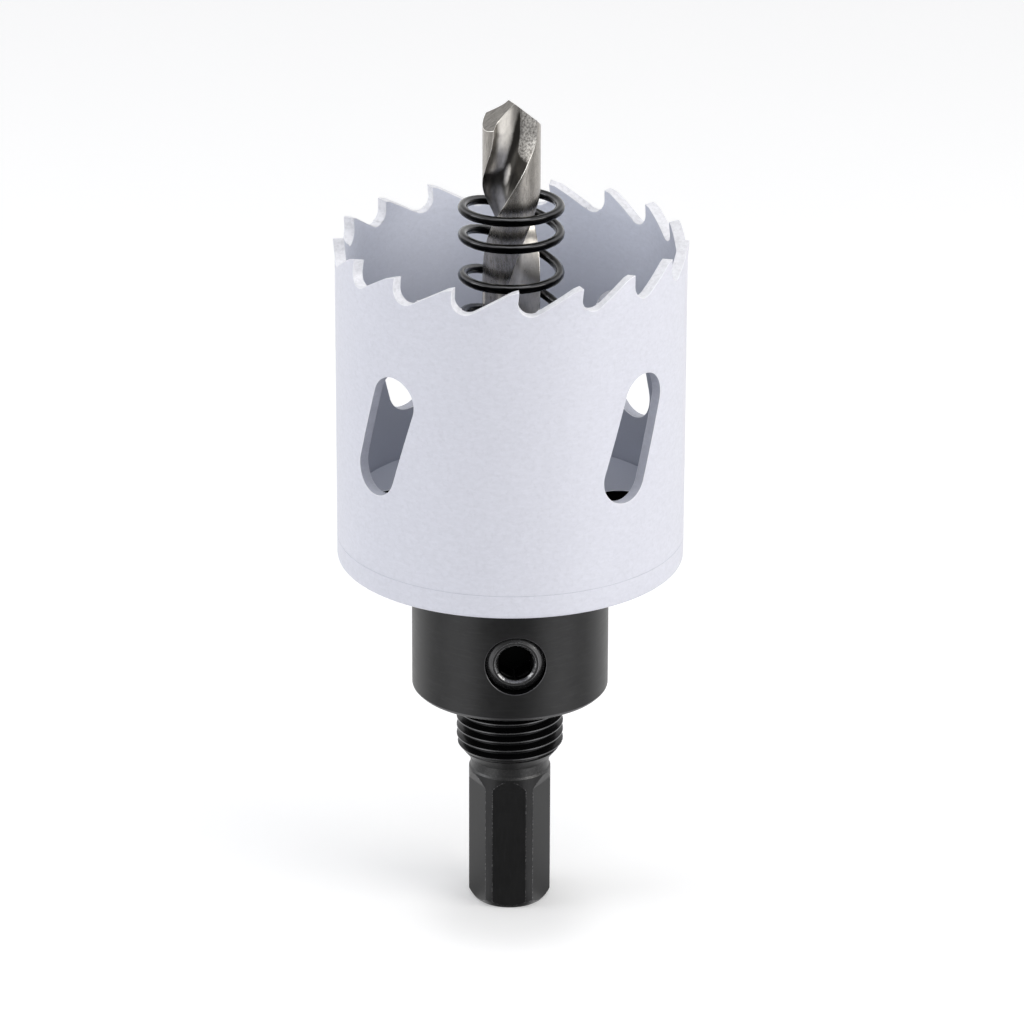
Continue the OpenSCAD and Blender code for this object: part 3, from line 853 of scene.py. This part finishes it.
def drillSection():
    # land, flute, land, flute: the flute's turn is counted from its cutting edge
    r, land = drill["d"] / 2, 180 - drill["curveWide"]
    points = []
    for half in (180, 0):
        points += [polar(r, half - land * i / 12) for i in range(13)]
        for right, near in reversed(drill["curve"]):
            turn = math.degrees(math.atan2(right, near)) + drill["curveTurn"]
            points.append(polar(math.hypot(right, near), half - 180 + turn))
    return points


def twistFlutes(piece):
    # each ring gets its own turn and width of flute, and the flutes fade out towards the shank
    r, curveWide = drill["d"] / 2, drill["curveWide"]
    for v in piece.data.vertices:
        z = v.co.z / mm
        deep = drill["top"] - z
        wide, heel = between(drill["widths"], deep), between(drill["heelTurns"], deep)
        turn = math.degrees(math.atan2(v.co.y, v.co.x)) % 360
        half = 180 * ((turn + 20) // 180)
        turn -= half
        if turn > curveWide:
            turn = heel + (turn - curveWide) * (180 - wide) / (180 - curveWide)
        else:
            turn = heel - wide + (turn * wide / curveWide if turn > 0 else turn)
        share = min(1, max(0, (z - drill["fluted"]) / drill["fade"]))
        share = share * share * (3 - 2 * share)
        rim = r if z > drill["low"] + 0.01 else r * drill["endShare"]
        far = rim - (rim - math.hypot(v.co.x, v.co.y) / mm) * share
        v.co.x, v.co.y = [c * mm for c in polar(far, turn + half + view["turn"])]


def makeDrill():
    d, r, low, high = drill["d"], drill["d"] / 2, drill["fluted"], drill["top"] + 1
    piece = drawOutline("pilotDrill", [(x, y, high) for x, y in drillSection()])
    rings = round((high - low) / drill["ring"])
    shankLow = drill["low"] + drill["endChamfer"]
    for drop in [(low - high) / rings] * rings + [shankLow - low, -drill["endChamfer"]]:
        bpy.ops.mesh.extrude_region_move(TRANSFORM_OT_translate={"value": (0, 0, drop * mm)})
    bpy.ops.transform.resize(value=(drill["endShare"], drill["endShare"], 1),
                             center_override=(0, 0, drill["low"] * mm))
    bpy.ops.object.mode_set(mode="OBJECT")
    twistFlutes(piece)
    workOn(piece, editing=True)
    closeMesh()
    bpy.ops.object.mode_set(mode="OBJECT")
    wear(piece, "drill", "drillEdgeHighlight", "flute")
    paintFaces(piece, 2, lambda co, normal: co.z > low + 1 and math.hypot(co.x, co.y) < r - 0.1)
    # the point is ground as two flat faces that meet in the chisel edge
    shoulder = drill["top"] - d / math.tan(math.radians(drill["pointAngle"] / 2))
    grinding = bar("grinding", [(-d, -d, drill["top"] + 3), (-d, -d, shoulder), (0, -d, drill["top"]),
                                (d, -d, shoulder), (d, -d, drill["top"] + 3)], (0, 2 * d, 0))
    wear(grinding, "drillPoint")
    carve(piece, place(grinding, (0, 0, drill["lipTurn"] + drill["ridge"] - 90)))
    softenEdges(piece, drill["edge"], angle=38)
    smooth(piece, angle=34)
    settle(piece, "pilot_drill")
    print("drill:", len(piece.data.polygons), "faces")


makeDrill()

# the ejector spring

spring = {"outer": 15.5, "wire": 1.4, "turns": 6, "high": 45.1, "foot": 3.0, "head": 4.1, "turn": -44.4,
          "even": 0.05, "low": 64.92, "perTurn": 32}


def coilClimb(t):
    # the share of a turn's rise at a share of the turn: most of it is at the back, as the photograph shows
    a = 2 * math.pi * t
    s = math.sin(a)
    far = t + (0.75 * math.sin(2 * a) - 4 * s + s ** 3 / 3) / (5 * math.pi)
    return spring["even"] * t + (1 - spring["even"]) * far


def makeSpring():
    wire = spring["wire"] / 2
    r = spring["outer"] / 2 - wire
    # a flat turn at each end, a closer one beside it, and even ones between
    openRise = (spring["high"] - spring["wire"] - spring["foot"] - spring["head"]) / spring["turns"]
    rises = [0, spring["foot"]] + [openRise] * spring["turns"] + [spring["head"], 0]
    lows, z = [], spring["low"] + wire
    for rise in rises:
        lows.append(z)
        z += rise
    first, last = spring["perTurn"] // 2, spring["perTurn"] * (len(rises) - 1) + spring["perTurn"] * 10 // 24
    dropSelection()
    bpy.ops.curve.primitive_nurbs_path_add()
    piece = bpy.context.object
    piece.name = "ejectorSpring"
    curve = piece.data
    curve.splines.clear()
    line = curve.splines.new("POLY")
    line.points.add(last - first)
    for i in range(first, last + 1):
        t = i / spring["perTurn"]
        k = int(t)
        x, y = polar(r, spring["turn"] + 360 * t)
        line.points[i - first].co = (x * mm, y * mm, (lows[k] + rises[k] * coilClimb(t - k)) * mm, 1)
    curve.bevel_depth = wire * mm
    curve.bevel_resolution = 5
    curve.use_fill_caps = True
    workOn(piece)
    bpy.ops.object.convert(target="MESH")
    piece = bpy.context.object
    workOn(piece, editing=True)
    closeMesh(1e-6)
    bpy.ops.object.mode_set(mode="OBJECT")
    piece.data.materials.clear()
    wear(piece, "wire")
    smooth(piece, angle=40)
    settle(piece, "ejector_spring")


makeSpring()
print("spring is wound")
